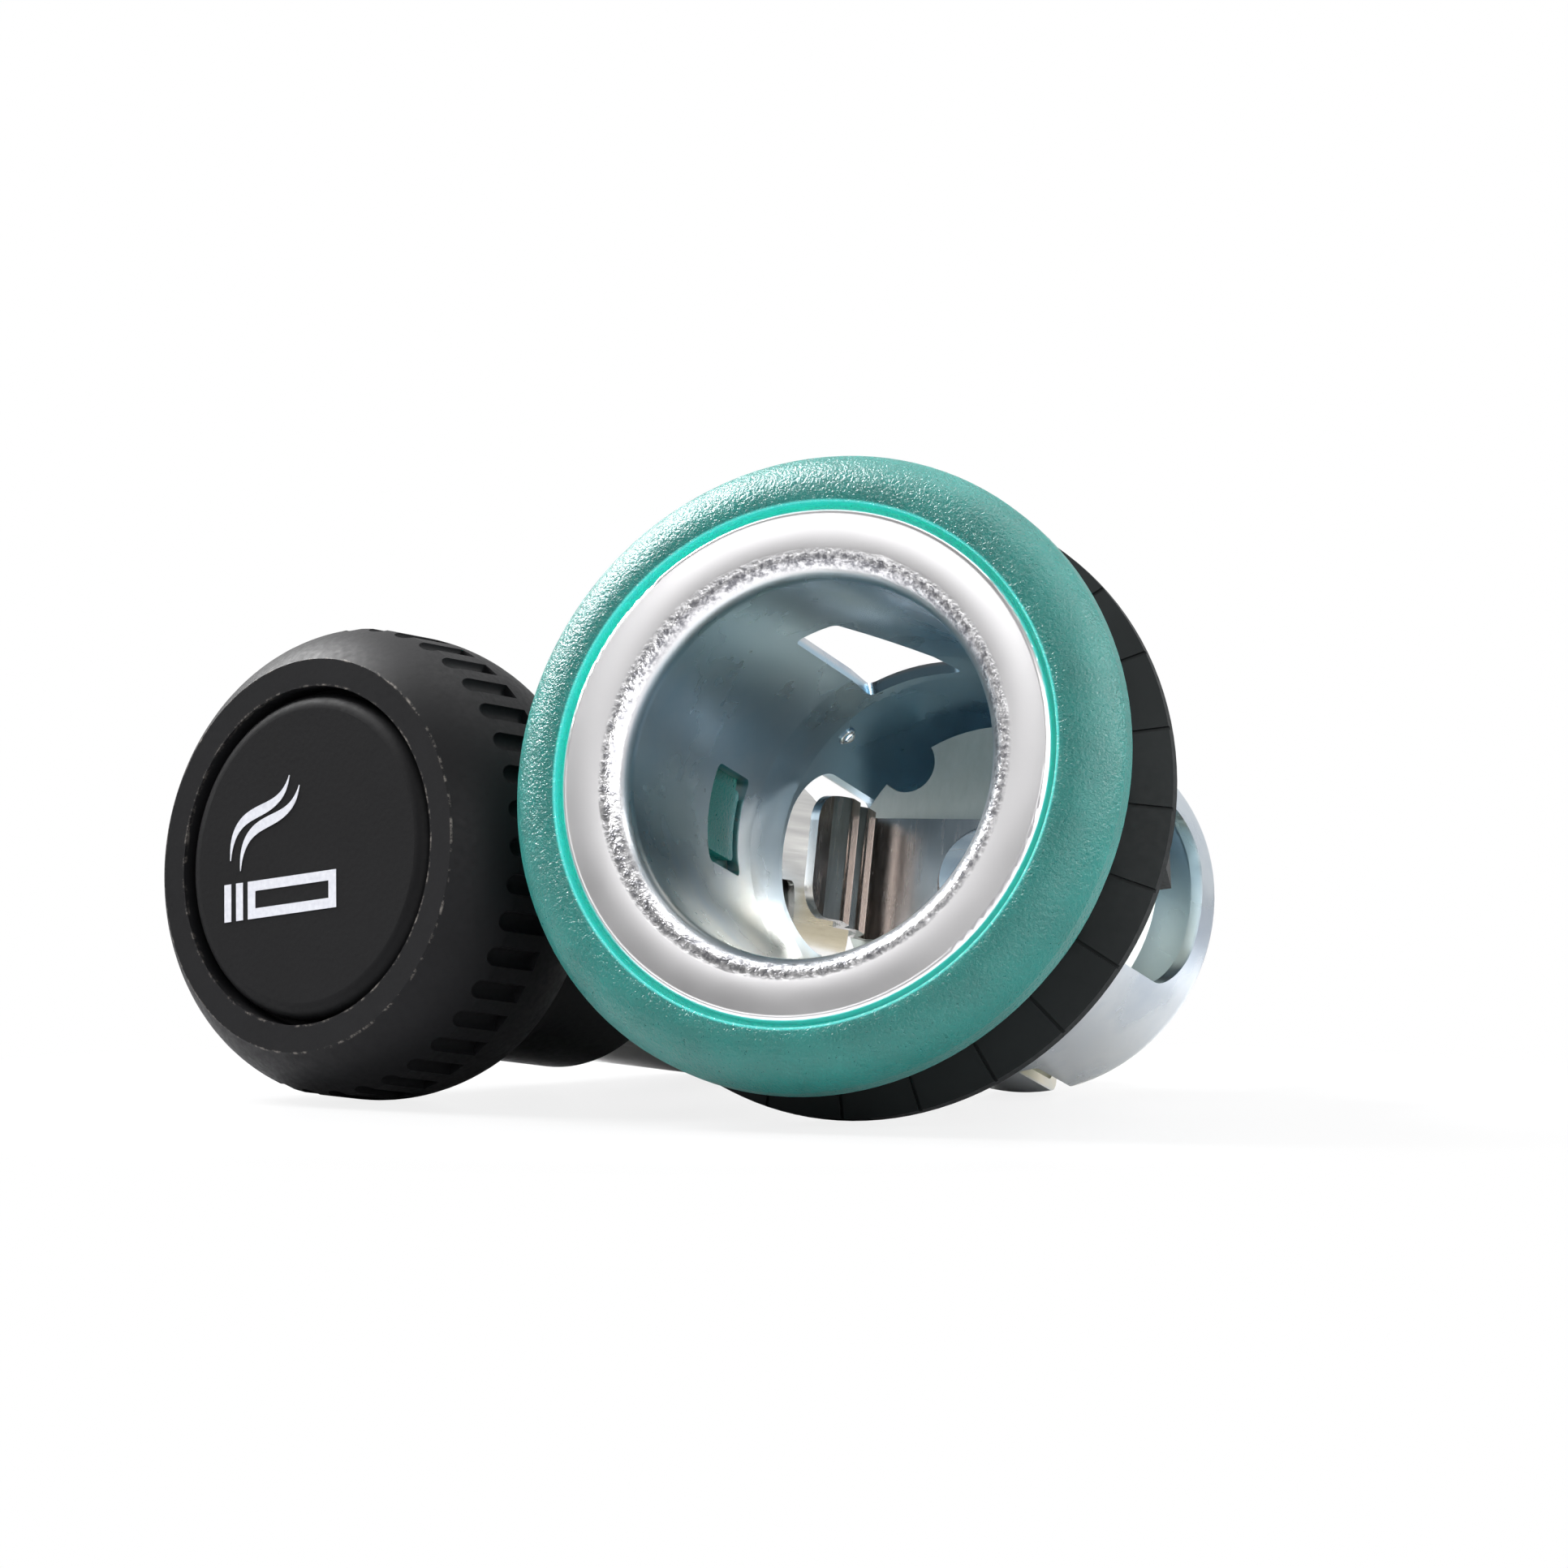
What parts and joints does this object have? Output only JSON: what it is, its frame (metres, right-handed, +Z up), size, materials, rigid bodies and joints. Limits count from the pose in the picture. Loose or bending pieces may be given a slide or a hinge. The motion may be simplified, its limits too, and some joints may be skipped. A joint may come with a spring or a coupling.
{
  "type": "car cigarette lighter",
  "caption": "Dashboard lighter socket with a translucent light ring and a black collar, and its lighter plug lying beside it with a sprung push knob.",
  "frame": {"origin": "middle of the set's footprint on the floor", "axes": "+Z up, +Y back along the socket's axis as seen from above, +X to the right seen from the front"},
  "size_m": [0.0626, 0.0536, 0.0363],
  "materials": {
    "zinc_steel": "zinc plated, satin",
    "light_ring": "frosted translucent",
    "black_plastic": "fine moulded grain",
    "bimetal": "rolled strip",
    "fibre": "pressed fibre",
    "tin_brass": "plated",
    "steel": "bright turned",
    "ceramic": "fired ceramic, unglazed",
    "resistance_ribbon": "rolled ribbon"
  },
  "bodies": {
    "socket_and_sleeve": {"socket_barrel": "zinc_steel", "lens_ring": "light_ring", "mounting_collar": "black_plastic", "inner_insulator": "fibre", "bimetal_clip": "bimetal", "outer_insulator": "fibre", "ground_terminal": "tin_brass", "positive_terminal": "tin_brass", "rivet_washer": "steel", "centre_rivet": "steel", "guard_sleeve": "black_plastic", "heater_shell": "zinc_steel", "guide_bush": "tin_brass", "return_spring": "steel"},
    "plunger": {"knob": "black_plastic", "symbol_cap": "black_plastic", "stem": "steel", "stop_washer": "steel", "cup_washer": "fibre", "heating_cup": "zinc_steel", "coil_plate": "ceramic", "heating_coil": "resistance_ribbon", "coil_rivet": "steel"}
  },
  "joints": [
    {"name": "knob_press", "type": "slide", "parent": "socket_and_sleeve", "child": "plunger", "axis": [0.295, 0.947, -0.1269], "range_m": [0, 0.006], "stiffness_N_per_m": 800, "springref_m": -0.004, "deforming": ["return_spring"]}
  ]
}
